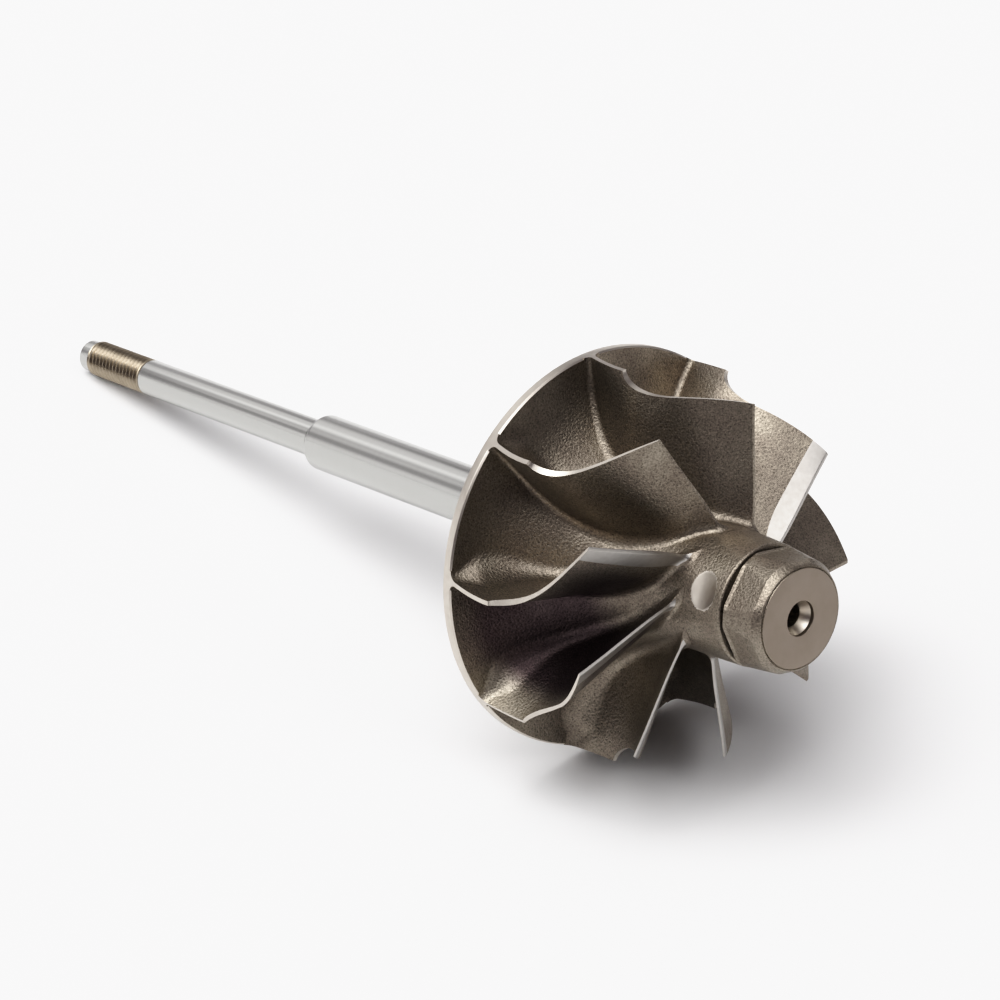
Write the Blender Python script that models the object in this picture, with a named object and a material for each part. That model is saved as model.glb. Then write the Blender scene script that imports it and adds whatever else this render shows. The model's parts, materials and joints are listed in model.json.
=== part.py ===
"""Turbocharger shaft and wheel: a nine-bladed turbine wheel welded to its turned shaft.

The rotor is modelled along its own axis, from the shaft's threaded end at negative x to
the nose of the wheel at positive x, and then laid down as it rests on a bench: on the rim
of the wheel and on the end of the shaft.
"""

import math

import bmesh
import bpy
from mathutils import Matrix, Vector

MM = 0.001

# Wheel, with x = 0 at the front corner of the disc's rim
WHEEL_RADIUS = 25.0 * MM
RIM_BACK_X = -1.26 * MM
BLADE_COUNT = 9
INLET_WIDTH = 6.85 * MM
OUTLET_RADIUS = 22.2 * MM
OUTLET_TIP_X = 18.9 * MM
SHROUD_ARC_END_X = 12.4 * MM

# Hub: its flare runs out of the disc's face as a quarter of a superellipse, and is divided
# at two angles on it into the disc, the flare and the hub's barrel
HUB_FLARE_END_X = 20.5 * MM
HUB_RADIUS = 7.8 * MM
HUB_FRONT_RADIUS = 7.55 * MM
HUB_FRONT_X = 27.45 * MM
HUB_FLARE_POWER = 2.2
HUB_EDGE = 0.3 * MM
FLARE_START_ANGLE = math.radians(28.0)
FLARE_END_ANGLE = math.radians(60.0)
FLARE_STEPS = 5

# Blades
BLADE_PHASE = math.radians(-1.4)
CREST_X = 6.3 * MM
INLET_LEAN = 0.037
OUTLET_TURN = 0.411
ROOT_TURN = 0.2
ROOT_TURN_POWER = 2.3
ROOT_TURN_START_X = 8.0 * MM
BLADE_ROOT_GAP = 0.3 * MM
INLET_ROOT_THICKNESS = 1.5 * MM
INLET_TIP_THICKNESS = 0.6 * MM
OUTLET_ROOT_THICKNESS = 1.5 * MM
OUTLET_TIP_THICKNESS = 0.6 * MM
BLADE_STEPS_ALONG = 14
BLADE_STEPS_UP = 6

# Nose, cast as a rounded hexagon and faced off round its centre hole
NOSE_NECK_RADIUS = 7.0 * MM
NOSE_BACK_X = 28.05 * MM
NOSE_FACE_X = 33.25 * MM
NOSE_BODY_RADIUS = 7.45 * MM
NOSE_SHOULDER_RADIUS = 7.0 * MM
NOSE_SHOULDER_X = 32.2 * MM
NOSE_EDGE_RADIUS = 6.4 * MM
NOSE_EDGE_X = 33.0 * MM
NOSE_FACE_RADIUS = 6.1 * MM
NOSE_FLAT_COUNT = 6
NOSE_FLAT_DISTANCE = 6.85 * MM
NOSE_FLAT_PHASE = math.radians(46.0)
CENTRE_HOLE_RADIUS = 2.14 * MM
CENTRE_HOLE_DEPTH = 4.5 * MM
CENTRE_HOLE_CONE = 1.2 * MM
NOSE_EDGE = 0.2 * MM

# Small oval ground on the hub beside the nose, where metal was taken off for balance
BALANCE_FLAT_X = 24.6 * MM
BALANCE_FLAT_LENGTH = 4.4 * MM
BALANCE_FLAT_DEPTH = 0.5 * MM
BALANCE_FLAT_ANGLE = math.radians(59.0)

# Back of the disc, which thins towards a flat land at the rim, and the boss behind it
RIM_LAND = 1.0 * MM
DISC_TAPER_X = -1.76 * MM
DISC_TAPER_RADIUS = 20.0 * MM
DISC_BACK_X = -2.6 * MM
DISC_BACK_RADIUS = 9.5 * MM
BOSS_BACK_X = -4.4 * MM
BOSS_STEPS = 5

# Sealing collar
COLLAR_RADIUS = 7.0 * MM
COLLAR_BACK_X = -14.0 * MM
RING_GROOVE_X = (-9.6 * MM, -8.0 * MM)
RING_GROOVE_RADIUS = 5.9 * MM
COLLAR_CHAMFER = 0.5 * MM

# Shaft
JOURNAL_RADIUS = 3.71 * MM
JOURNAL_END_X = -55.3 * MM
SHOULDER_END_X = -56.9 * MM
SEAT_RADIUS = 2.49 * MM
SEAT_END_X = -94.3 * MM
THREAD_END_X = -106.4 * MM
THREAD_RADIUS = 2.47 * MM
THREAD_ROOT_RADIUS = 2.05 * MM
THREAD_PITCH = 0.8 * MM
SHAFT_END_X = -108.8 * MM
SHAFT_END_RADIUS = 2.2 * MM
SHAFT_END_CHAMFER = 0.3 * MM

# Blocks that cut the flats
CUTTER_WIDTH = 8.0 * MM
CUTTER_HEIGHT = 2.0 * MM

WHEEL_SIDES = 36
HUB_SIDES = 48
SHAFT_SIDES = 32
SHAFT_END_SIDES = 24
THREAD_SIDES = 20
THREAD_STEPS_PER_TURN = 4

METALS = {
    "cast_wheel": ((0.135, 0.11, 0.085, 1.0), 0.55),
    "ground_nose": ((0.27, 0.23, 0.19, 1.0), 0.42),
    "ground_shaft": ((0.62, 0.62, 0.60, 1.0), 0.22),
    "dark_thread": ((0.20, 0.17, 0.13, 1.0), 0.4),
}


def clear_scene():
    """Remove every object so that the script can be run again in the same file."""
    for item in list(bpy.data.objects):
        bpy.data.objects.remove(item, do_unlink=True)


def metal(name):
    """Return a Principled material for one of the part's metal finishes."""
    material = bpy.data.materials.get(name) or bpy.data.materials.new(name)
    material.use_nodes = True
    shader = material.node_tree.nodes["Principled BSDF"]
    colour, roughness = METALS[name]
    shader.inputs["Base Color"].default_value = colour
    shader.inputs["Roughness"].default_value = roughness
    shader.inputs["Metallic"].default_value = 1.0
    return material


def make_object(name, bm, finish, rotor):
    """Turn a bmesh into a named object that is carried by the rotor's empty."""
    bmesh.ops.recalc_face_normals(bm, faces=bm.faces)
    mesh = bpy.data.meshes.new(name)
    bm.to_mesh(mesh)
    bm.free()
    mesh.materials.append(metal(finish))
    mesh.shade_smooth()
    mesh.set_sharp_from_angle(angle=math.radians(30.0))
    item = bpy.data.objects.new(name, mesh)
    bpy.context.scene.collection.objects.link(item)
    item.parent = rotor
    return item


def turned(name, profile, sides, finish, rotor):
    """Turn a profile of (x, radius) points round the rotor's axis into a solid.

    The profile starts and ends on the axis, so that the turned skin closes. The middles of
    its facets lie on the true radius, and the corners stand a little outside it.
    """
    bm = bmesh.new()
    corner = 1.0 / math.cos(math.pi / sides)
    verts = [bm.verts.new((x, 0.0, -radius * corner)) for x, radius in profile]
    edges = [bm.edges.new(pair) for pair in zip(verts, verts[1:])]
    # A half step puts the middle of a facet, not a corner, at the bottom
    half_step = Matrix.Rotation(math.pi / sides, 4, "X")
    bmesh.ops.transform(bm, matrix=half_step, verts=verts)
    bmesh.ops.spin(bm, geom=verts + edges, cent=(0, 0, 0), axis=(1, 0, 0),
                   angle=math.tau, steps=sides, use_merge=True)
    bmesh.ops.remove_doubles(bm, verts=bm.verts, dist=1e-6)
    return make_object(name, bm, finish, rotor)


def hub_point(angle):
    """Point (x, radius) on the hub's flare, from the rim at 0 to the hub at a right angle."""
    power = 2.0 / HUB_FLARE_POWER
    x = HUB_FLARE_END_X * (1.0 - math.cos(angle) ** power)
    radius = WHEEL_RADIUS - (WHEEL_RADIUS - HUB_RADIUS) * math.sin(angle) ** power
    return x, radius


def hub_points(start, end):
    """Points on the hub's flare between two angles."""
    return [hub_point(start + (end - start) * i / FLARE_STEPS) for i in range(FLARE_STEPS + 1)]


def lifted_hub_point(angle):
    """The hub's point moved off its surface by the gap under a blade's root."""
    small = 1e-3
    low, high = max(angle - small, 0.0), min(angle + small, math.pi / 2)
    before, after = hub_point(low), hub_point(high)
    along = Vector((after[0] - before[0], after[1] - before[1])).normalized()
    x, radius = hub_point(angle)
    return x - along.y * BLADE_ROOT_GAP, radius + along.x * BLADE_ROOT_GAP


def shroud_point(share):
    """Point (x, radius) on a blade's outer edge: a quarter of an ellipse, then straight."""
    if share < 0.5:
        turn = share * math.pi
        x = SHROUD_ARC_END_X - (SHROUD_ARC_END_X - INLET_WIDTH) * math.cos(turn)
        return x, WHEEL_RADIUS - (WHEEL_RADIUS - OUTLET_RADIUS) * math.sin(turn)
    along = 2.0 * share - 1.0
    return SHROUD_ARC_END_X + (OUTLET_TIP_X - SHROUD_ARC_END_X) * along, OUTLET_RADIUS


def blade_turn(x, radius):
    """Angle of the blade's middle surface round the axis, in radians.

    It leans slightly at the inlet, turns further and further towards the outlet, and
    turns a little more near the hub.
    """
    if x < CREST_X:
        turn = -INLET_LEAN * ((CREST_X - x) / CREST_X) ** 2
    else:
        turn = -OUTLET_TURN * ((x - CREST_X) / (OUTLET_TIP_X - CREST_X)) ** 2
    reach = max(0.0, (x - ROOT_TURN_START_X) / (HUB_FLARE_END_X - ROOT_TURN_START_X))
    depth = max(0.0, (OUTLET_RADIUS - radius) / (OUTLET_RADIUS - HUB_RADIUS))
    return turn - ROOT_TURN * reach ** 2 * depth ** ROOT_TURN_POWER


def blade_thickness(along, up):
    """Thickness round the axis at a share along the blade and a share up from the hub."""
    root = INLET_ROOT_THICKNESS + (OUTLET_ROOT_THICKNESS - INLET_ROOT_THICKNESS) * along
    tip = INLET_TIP_THICKNESS + (OUTLET_TIP_THICKNESS - INLET_TIP_THICKNESS) * along
    return root + (tip - root) * up


def round_axis(x, radius, turn):
    """Place a point by its angle round the axis, counted from the top towards -y."""
    return Vector((x, -radius * math.sin(turn), radius * math.cos(turn)))


def make_blade(name, phase, rotor):
    """One blade: a thin curved solid from its inlet edge to its outlet edge."""
    bm = bmesh.new()
    sheets = []
    for side in (-0.5, 0.5):
        sheet = []
        for i in range(BLADE_STEPS_ALONG + 1):
            along = i / BLADE_STEPS_ALONG
            root = lifted_hub_point(along * math.pi / 2)
            tip = shroud_point(along)
            row = []
            for j in range(BLADE_STEPS_UP + 1):
                up = j / BLADE_STEPS_UP
                x = root[0] + (tip[0] - root[0]) * up
                radius = root[1] + (tip[1] - root[1]) * up
                turn = phase + blade_turn(x, radius)
                turn += side * blade_thickness(along, up) / radius
                row.append(bm.verts.new(round_axis(x, radius, turn)))
            sheet.append(row)
        sheets.append(sheet)
    near, far = sheets
    for i in range(BLADE_STEPS_ALONG):
        for j in range(BLADE_STEPS_UP):
            for sheet in sheets:
                bm.faces.new((sheet[i][j], sheet[i + 1][j], sheet[i + 1][j + 1], sheet[i][j + 1]))
        for j in (0, BLADE_STEPS_UP):
            bm.faces.new((near[i][j], near[i + 1][j], far[i + 1][j], far[i][j]))
    for j in range(BLADE_STEPS_UP):
        for i in (0, BLADE_STEPS_ALONG):
            bm.faces.new((near[i][j], near[i][j + 1], far[i][j + 1], far[i][j]))
    return make_object(name, bm, "cast_wheel", rotor)


def cut(item, cutter):
    """Cut one solid out of another with an exact Boolean."""
    cutter.display_type = "WIRE"
    cutter.hide_render = True
    modifier = item.modifiers.new("cut", "BOOLEAN")
    modifier.operation = "DIFFERENCE"
    modifier.solver = "EXACT"
    modifier.object = cutter


def cut_flat(item, name, centre_x, length, distance, turn, rotor):
    """Cut a flat across a round piece, at a distance from the axis, facing outwards."""
    bm = bmesh.new()
    bmesh.ops.create_cube(bm, size=1.0)
    bmesh.ops.scale(bm, vec=(length, CUTTER_WIDTH, CUTTER_HEIGHT), verts=bm.verts)
    middle = Vector((centre_x, 0.0, distance + CUTTER_HEIGHT / 2))
    bmesh.ops.translate(bm, vec=middle, verts=bm.verts)
    bmesh.ops.rotate(bm, matrix=Matrix.Rotation(turn, 3, "X"), verts=bm.verts)
    cut(item, make_object(name, bm, "cast_wheel", rotor))


def make_disc(rotor):
    """The wheel's full back disc, up to the plane where the flare is divided from it."""
    back = [
        (DISC_BACK_X, 0.0),
        (DISC_BACK_X, DISC_BACK_RADIUS),
        (DISC_TAPER_X, DISC_TAPER_RADIUS),
        (RIM_BACK_X, WHEEL_RADIUS - RIM_LAND),
        (RIM_BACK_X, WHEEL_RADIUS),
    ]
    face = hub_points(0.0, FLARE_START_ANGLE)
    profile = back + face + [(face[-1][0], 0.0)]
    return turned("back_disc", profile, WHEEL_SIDES, "cast_wheel", rotor)


def make_flare(rotor):
    """The flare between the disc and the hub's barrel."""
    flare = hub_points(FLARE_START_ANGLE, FLARE_END_ANGLE)
    profile = [(flare[0][0], 0.0)] + flare + [(flare[-1][0], 0.0)]
    return turned("hub_flare", profile, HUB_SIDES, "cast_wheel", rotor)


def make_hub(rotor):
    """The hub's barrel, with the groove behind the nose and the oval ground flat."""
    flare = hub_points(FLARE_END_ANGLE, math.pi / 2)
    front = [
        (HUB_FRONT_X - HUB_EDGE, HUB_FRONT_RADIUS),
        (HUB_FRONT_X, HUB_FRONT_RADIUS - HUB_EDGE),
        (HUB_FRONT_X, NOSE_NECK_RADIUS),
        (NOSE_BACK_X, NOSE_NECK_RADIUS),
        (NOSE_BACK_X, 0.0),
    ]
    hub = turned("hub", [(flare[0][0], 0.0)] + flare + front, HUB_SIDES, "cast_wheel", rotor)
    cut_flat(hub, "balance_flat_cutter", BALANCE_FLAT_X, BALANCE_FLAT_LENGTH,
             HUB_RADIUS - BALANCE_FLAT_DEPTH, BALANCE_FLAT_ANGLE, rotor)
    return hub


def make_nose(rotor):
    """The rounded hexagonal nose with its faced end and centre hole."""
    hole_end = NOSE_FACE_X - CENTRE_HOLE_DEPTH
    profile = [
        (NOSE_BACK_X, 0.0),
        (NOSE_BACK_X, NOSE_BODY_RADIUS - NOSE_EDGE),
        (NOSE_BACK_X + NOSE_EDGE, NOSE_BODY_RADIUS),
        (NOSE_SHOULDER_X, NOSE_SHOULDER_RADIUS),
        (NOSE_EDGE_X - HUB_EDGE, NOSE_EDGE_RADIUS + HUB_EDGE),
        (NOSE_EDGE_X, NOSE_EDGE_RADIUS),
        (NOSE_FACE_X, NOSE_FACE_RADIUS),
        (NOSE_FACE_X, CENTRE_HOLE_RADIUS),
        (hole_end + CENTRE_HOLE_CONE, CENTRE_HOLE_RADIUS),
        (hole_end, 0.0),
    ]
    nose = turned("hex_nose", profile, HUB_SIDES, "ground_nose", rotor)
    middle = (NOSE_BACK_X + NOSE_FACE_X) / 2
    length = (NOSE_FACE_X - NOSE_BACK_X) * 1.5
    for k in range(NOSE_FLAT_COUNT):
        cut_flat(nose, f"nose_flat_cutter_{k + 1}", middle, length, NOSE_FLAT_DISTANCE,
                 NOSE_FLAT_PHASE + k * math.tau / NOSE_FLAT_COUNT, rotor)
    return nose


def make_boss(rotor):
    """The boss on the disc's back, a hollow fillet down to the collar's size."""
    fillet = []
    for i in range(BOSS_STEPS + 1):
        turn = math.pi / 2 * i / BOSS_STEPS
        x = BOSS_BACK_X + (DISC_BACK_X - BOSS_BACK_X) * math.sin(turn)
        radius = DISC_BACK_RADIUS - (DISC_BACK_RADIUS - COLLAR_RADIUS) * math.cos(turn)
        fillet.append((x, radius))
    profile = [(BOSS_BACK_X, 0.0)] + fillet + [(DISC_BACK_X, 0.0)]
    return turned("back_boss", profile, HUB_SIDES, "cast_wheel", rotor)


def make_collar(rotor):
    """The collar behind the wheel, with the groove for its sealing ring."""
    groove_back, groove_front = RING_GROOVE_X
    profile = [
        (COLLAR_BACK_X, 0.0),
        (COLLAR_BACK_X, COLLAR_RADIUS - COLLAR_CHAMFER),
        (COLLAR_BACK_X + COLLAR_CHAMFER, COLLAR_RADIUS),
        (groove_back, COLLAR_RADIUS),
        (groove_back, RING_GROOVE_RADIUS),
        (groove_front, RING_GROOVE_RADIUS),
        (groove_front, COLLAR_RADIUS),
        (BOSS_BACK_X, COLLAR_RADIUS),
        (BOSS_BACK_X, 0.0),
    ]
    return turned("seal_collar", profile, HUB_SIDES, "ground_shaft", rotor)


def make_bar(name, start_x, end_x, radius, end_radius, finish, rotor):
    """A plain length of the shaft between two flat ends."""
    profile = [(end_x, 0.0), (end_x, end_radius), (start_x, radius), (start_x, 0.0)]
    return turned(name, profile, SHAFT_SIDES, finish, rotor)


def make_shaft_end(rotor):
    """The short plain end beyond the thread, with its edge broken."""
    profile = [
        (SHAFT_END_X, 0.0),
        (SHAFT_END_X, SHAFT_END_RADIUS - SHAFT_END_CHAMFER),
        (SHAFT_END_X + SHAFT_END_CHAMFER, SHAFT_END_RADIUS),
        (THREAD_END_X, SHAFT_END_RADIUS),
        (THREAD_END_X, 0.0),
    ]
    return turned("shaft_end", profile, SHAFT_END_SIDES, "ground_shaft", rotor)


def make_thread(rotor):
    """The threaded length: a cylinder whose radius rises and falls along a helix."""
    length = SEAT_END_X - THREAD_END_X
    steps = round(length / THREAD_PITCH * THREAD_STEPS_PER_TURN)
    fade = THREAD_PITCH
    bm = bmesh.new()
    rings = []
    for i in range(steps + 1):
        x = THREAD_END_X + length * i / steps
        ends = min(1.0, min(x - THREAD_END_X, SEAT_END_X - x) / fade)
        ring = []
        for k in range(THREAD_SIDES):
            turn = math.tau * k / THREAD_SIDES
            wave = (x / THREAD_PITCH - k / THREAD_SIDES) % 1.0
            depth = abs(2.0 * wave - 1.0) * ends
            radius = THREAD_RADIUS - (THREAD_RADIUS - THREAD_ROOT_RADIUS) * depth
            ring.append(bm.verts.new(round_axis(x, radius, turn)))
        rings.append(ring)
    for low, high in zip(rings, rings[1:]):
        for k in range(THREAD_SIDES):
            after = (k + 1) % THREAD_SIDES
            bm.faces.new((low[k], low[after], high[after], high[k]))
    for ring in (rings[0], rings[-1]):
        bm.faces.new(ring)
    return make_object("thread", bm, "dark_thread", rotor)


def lay_down(rotor):
    """Tilt the rotor so that the rim and the shaft's end both rest on z = 0."""
    tilt = math.atan2(WHEEL_RADIUS - SHAFT_END_RADIUS,
                      RIM_BACK_X - SHAFT_END_X - SHAFT_END_CHAMFER)
    rotor.rotation_euler = (0.0, -tilt, 0.0)
    bpy.context.view_layer.update()
    corners = [
        item.matrix_world @ vert.co
        for item in rotor.children if not item.hide_render
        for vert in item.data.vertices
    ]
    lows = [min(corner[i] for corner in corners) for i in range(3)]
    highs = [max(corner[i] for corner in corners) for i in range(3)]
    rotor.location = (-(lows[0] + highs[0]) / 2, -(lows[1] + highs[1]) / 2, -lows[2])
    bpy.context.view_layer.update()


def build():
    """Build the rotor and lay it down."""
    clear_scene()
    rotor = bpy.data.objects.new("rotor", None)
    bpy.context.scene.collection.objects.link(rotor)
    make_disc(rotor)
    make_flare(rotor)
    make_hub(rotor)
    for k in range(BLADE_COUNT):
        make_blade(f"blade_{k + 1}", BLADE_PHASE + k * math.tau / BLADE_COUNT, rotor)
    make_nose(rotor)
    make_boss(rotor)
    make_collar(rotor)
    make_bar("journal", COLLAR_BACK_X, JOURNAL_END_X, JOURNAL_RADIUS, JOURNAL_RADIUS,
             "ground_shaft", rotor)
    make_bar("shoulder", JOURNAL_END_X, SHOULDER_END_X, JOURNAL_RADIUS, SEAT_RADIUS,
             "ground_shaft", rotor)
    make_bar("compressor_seat", SHOULDER_END_X, SEAT_END_X, SEAT_RADIUS, SEAT_RADIUS,
             "ground_shaft", rotor)
    make_thread(rotor)
    make_shaft_end(rotor)
    lay_down(rotor)


build()
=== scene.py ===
"""Turbocharger shaft and wheel: the looks of the rotor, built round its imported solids.

Every piece is modelled in the rotor's own axes: x runs along the shaft towards the nose and
is 0 at the front corner of the disc's rim, and z is the radial direction nearest up. Angles
round the axis are counted from z towards -y, which is the side that faces the camera.
"""

import json
import math

import bmesh
import bpy
from mathutils import Matrix, Vector


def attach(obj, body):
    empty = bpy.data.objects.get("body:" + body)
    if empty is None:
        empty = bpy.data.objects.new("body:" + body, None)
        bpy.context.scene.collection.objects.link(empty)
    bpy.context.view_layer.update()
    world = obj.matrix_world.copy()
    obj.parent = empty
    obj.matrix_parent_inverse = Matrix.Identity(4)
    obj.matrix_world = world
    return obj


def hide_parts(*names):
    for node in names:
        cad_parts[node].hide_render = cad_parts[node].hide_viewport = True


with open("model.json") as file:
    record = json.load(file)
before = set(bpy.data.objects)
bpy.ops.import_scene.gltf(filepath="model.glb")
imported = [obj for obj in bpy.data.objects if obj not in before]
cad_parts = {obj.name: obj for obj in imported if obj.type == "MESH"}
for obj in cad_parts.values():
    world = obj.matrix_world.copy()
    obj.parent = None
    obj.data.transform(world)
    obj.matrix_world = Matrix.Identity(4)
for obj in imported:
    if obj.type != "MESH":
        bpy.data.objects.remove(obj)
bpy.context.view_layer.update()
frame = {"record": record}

# Where the rotor lies
# It rests on the back edge of the wheel's rim and on the end of its shaft. The faced nose is
# a mount of the part, so the mount's place and direction give the rotor's own axes.
MM = 0.001
NOSE_FACE_X = 33.25 * MM
NOSE_MOUNT_HEIGHT = 4.2 * MM
nose_mount = next(m for m in frame["record"]["mounts"] if m["name"] == "nose_face")
shaft_way = Vector(nose_mount["axis"]).normalized()
side_way = Vector((0.0, 1.0, 0.0))
lift_way = shaft_way.cross(side_way)
rotor_place = Matrix((shaft_way, side_way, lift_way)).transposed().to_4x4()
rotor_place.translation = (
    Vector(nose_mount["pos_m"]) - shaft_way * NOSE_FACE_X - lift_way * NOSE_MOUNT_HEIGHT
)


# The wheel's disc and hub
# The wheel is one investment casting of nickel alloy, blasted clean: a thin disc whose face
# runs up through a hollow flare into the hub's barrel. Its rim is turned to size, and a small
# oval was ground off the barrel for balance.
WHEEL_RADIUS = 25.0 * MM
RIM_BACK_X = -1.26 * MM
RIM_LAND = 1.0 * MM
RIM_LAND_ROUNDING = 0.3 * MM
RIM_BACK_ROUNDING = 0.08 * MM
RIM_EDGE = 0.2 * MM
RIM_EDGE_ROUNDING = 0.03 * MM
RIM_TURNED_DEPTH = 0.12 * MM
DISC_TAPER_X = -1.76 * MM
DISC_TAPER_RADIUS = 20.0 * MM
DISC_BACK_X = -2.6 * MM
DISC_BACK_RADIUS = 9.5 * MM
BOSS_BACK_X = -4.4 * MM
COLLAR_RADIUS = 7.0 * MM
FLARE_START = 0.02
FLARE_END_X = 20.5 * MM
FLARE_POWER = 2.2
HUB_RADIUS = 7.8 * MM
BARREL_END_X = 27.1 * MM
HUB_FRONT_RADIUS = 7.55 * MM
HUB_FRONT_X = 27.45 * MM
HUB_FRONT_ROUNDING = 0.34 * MM
NOSE_NECK_RADIUS = 6.5 * MM
NOSE_NECK_ROUNDING = 0.1 * MM
NOSE_BACK_X = 27.93 * MM
OVAL_X = 24.6 * MM
OVAL_HALF_LENGTH = 2.2 * MM
OVAL_DEPTH = 0.5 * MM
OVAL_TURN = math.radians(59.0)
OVAL_LEAST_FACING = 0.5
OVAL_MARGIN = 0.03 * MM
WHEEL_SIDES = 320
BOSS_STEPS = 12
FLARE_STEPS = 64
BARREL_STEPS = 44
ROUNDING_STEPS = 4
ON_AXIS = 1e-7
SHARP_ANGLE = math.radians(32.0)


def srgb(code):
    """Linear colour of an sRGB hex value such as #8c8076."""
    parts = [int(code[i:i + 2], 16) / 255 for i in (1, 3, 5)]
    return (*[p / 12.92 if p <= 0.04045 else ((p + 0.055) / 1.055) ** 2.4 for p in parts], 1.0)


def new_material(name):
    """An empty metal: a Principled shader on its output, ready for its own nodes."""
    material = bpy.data.materials.new(name)
    material.use_nodes = True
    shader = material.node_tree.nodes["Principled BSDF"]
    shader.inputs["Metallic"].default_value = 1.0
    return material, shader


def add_node(material, kind, sockets, **settings):
    """Add a shader node. A socket takes a plain value, or a (node, output) pair to link."""
    tree = material.node_tree
    node = tree.nodes.new("ShaderNode" + kind)
    for name, value in settings.items():
        setattr(node, name, value)
    for name, value in sockets.items():
        if isinstance(value, tuple) and isinstance(value[0], bpy.types.Node):
            tree.links.new(value[0].outputs[value[1]], node.inputs[name])
        else:
            node.inputs[name].default_value = value
    return node


def rotor_axes(material):
    """The rotor's own axes as a pattern's coordinates, in metres, x along its shaft."""
    place = add_node(material, "TexCoord", {})
    return add_node(material, "Mapping", {
        "Vector": (place, "Object"), "Location": rotor_place.translation,
        "Rotation": rotor_place.to_euler()}, vector_type="TEXTURE")


def around(x, radius, turn):
    """A point by its place along the rotor's axis, its radius and its angle."""
    return Vector((x, -radius * math.sin(turn), radius * math.cos(turn)))


def rounded(corners):
    """Outline points (x, radius) of a profile whose corners (x, radius, setback) are rounded."""
    outline = []
    for k, (x, radius, setback) in enumerate(corners):
        corner = Vector((x, radius))
        if not setback:
            outline.append(corner)
            continue
        before = Vector(corners[k - 1][:2]) - corner
        after = Vector(corners[k + 1][:2]) - corner
        start = corner + before.normalized() * setback
        end = corner + after.normalized() * setback
        for i in range(ROUNDING_STEPS + 1):
            s = i / ROUNDING_STEPS
            outline.append(start * (1 - s) ** 2 + corner * 2 * s * (1 - s) + end * s ** 2)
    return outline


def turned(outline, sides, radius_at=None):
    """Skin of an outline turned round the axis. radius_at(x, radius, turn) may change it."""
    bm = bmesh.new()
    rings = []
    for x, radius in outline:
        if radius < ON_AXIS:
            rings.append([bm.verts.new((x, 0.0, 0.0))])
            continue
        ring = []
        for k in range(sides):
            turn = math.tau * k / sides
            here = radius_at(x, radius, turn) if radius_at else radius
            ring.append(bm.verts.new(around(x, here, turn)))
        rings.append(ring)
    for low, high in zip(rings, rings[1:]):
        for k in range(sides):
            after = (k + 1) % sides
            corners = [low[k % len(low)], low[after % len(low)]]
            corners += [high[after % len(high)], high[k % len(high)]]
            bm.faces.new(list(dict.fromkeys(corners)))
    return bm


def finished(name, bm, *materials):
    """A shown piece, laid down with the rotor: smooth, with its real edges kept sharp."""
    bmesh.ops.recalc_face_normals(bm, faces=bm.faces)
    bm.transform(rotor_place)
    mesh = bpy.data.meshes.new(name)
    bm.to_mesh(mesh)
    bm.free()
    mesh.shade_smooth()
    mesh.set_sharp_from_angle(angle=SHARP_ANGLE)
    for material in materials:
        mesh.materials.append(material)
    piece = bpy.data.objects.new(name, mesh)
    bpy.context.scene.collection.objects.link(piece)
    return piece


def flare_point(share):
    """Point (x, radius) on the hub's flare, from the rim at 0 to the barrel at 1."""
    angle = share * math.pi / 2
    power = 2.0 / FLARE_POWER
    x = FLARE_END_X * (1.0 - max(math.cos(angle), 0.0) ** power)
    return x, WHEEL_RADIUS - (WHEEL_RADIUS - HUB_RADIUS) * math.sin(angle) ** power


def oval_flat(x, turn):
    """Radius of the ground oval's surface, or a large one where it can't reach."""
    facing = math.cos(turn - OVAL_TURN)
    if facing < OVAL_LEAST_FACING or abs(x - OVAL_X) > 2 * OVAL_HALF_LENGTH:
        return WHEEL_RADIUS
    reach = (x - OVAL_X) / OVAL_HALF_LENGTH
    return (HUB_RADIUS - OVAL_DEPTH) / facing + OVAL_DEPTH * reach ** 2


# Investment-cast nickel alloy, blasted: dark grey-brown and half matt, with a sandy grain of
# about 0.25 mm, dark pits between the grains, and faint stains some millimetres across.
CAST_GRAIN = 0.25 * MM
NOISE_PER_GRAIN = 1.2
PITS_PER_GRAIN = 0.7
STAIN_SIZE = 4.545 * MM
# A Mix node's two colours and its result have no name of their own, only a number
MIX_A, MIX_B, MIX_RESULT = 6, 7, 2
cast_alloy, shader = new_material("cast_nickel_alloy_blasted")
place = rotor_axes(cast_alloy)
grain = add_node(cast_alloy, "TexNoise", {
    "Vector": (place, "Vector"), "Scale": NOISE_PER_GRAIN / CAST_GRAIN,
    "Detail": 2.0, "Roughness": 0.6})
pits = add_node(cast_alloy, "TexVoronoi", {
    "Vector": (place, "Vector"), "Scale": PITS_PER_GRAIN / CAST_GRAIN, "Randomness": 1.0})
stains = add_node(cast_alloy, "TexNoise", {
    "Vector": (place, "Vector"), "Scale": 1.0 / STAIN_SIZE, "Detail": 4.0, "Roughness": 0.55})
stain_mix = add_node(cast_alloy, "MapRange", {
    "Value": (stains, "Fac"), "From Min": 0.35, "From Max": 0.65})
alloy_colour = add_node(cast_alloy, "Mix", {
    "Factor": (stain_mix, "Result"), MIX_A: srgb("#928a7e"), MIX_B: srgb("#82796f")},
    data_type="RGBA")

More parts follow.
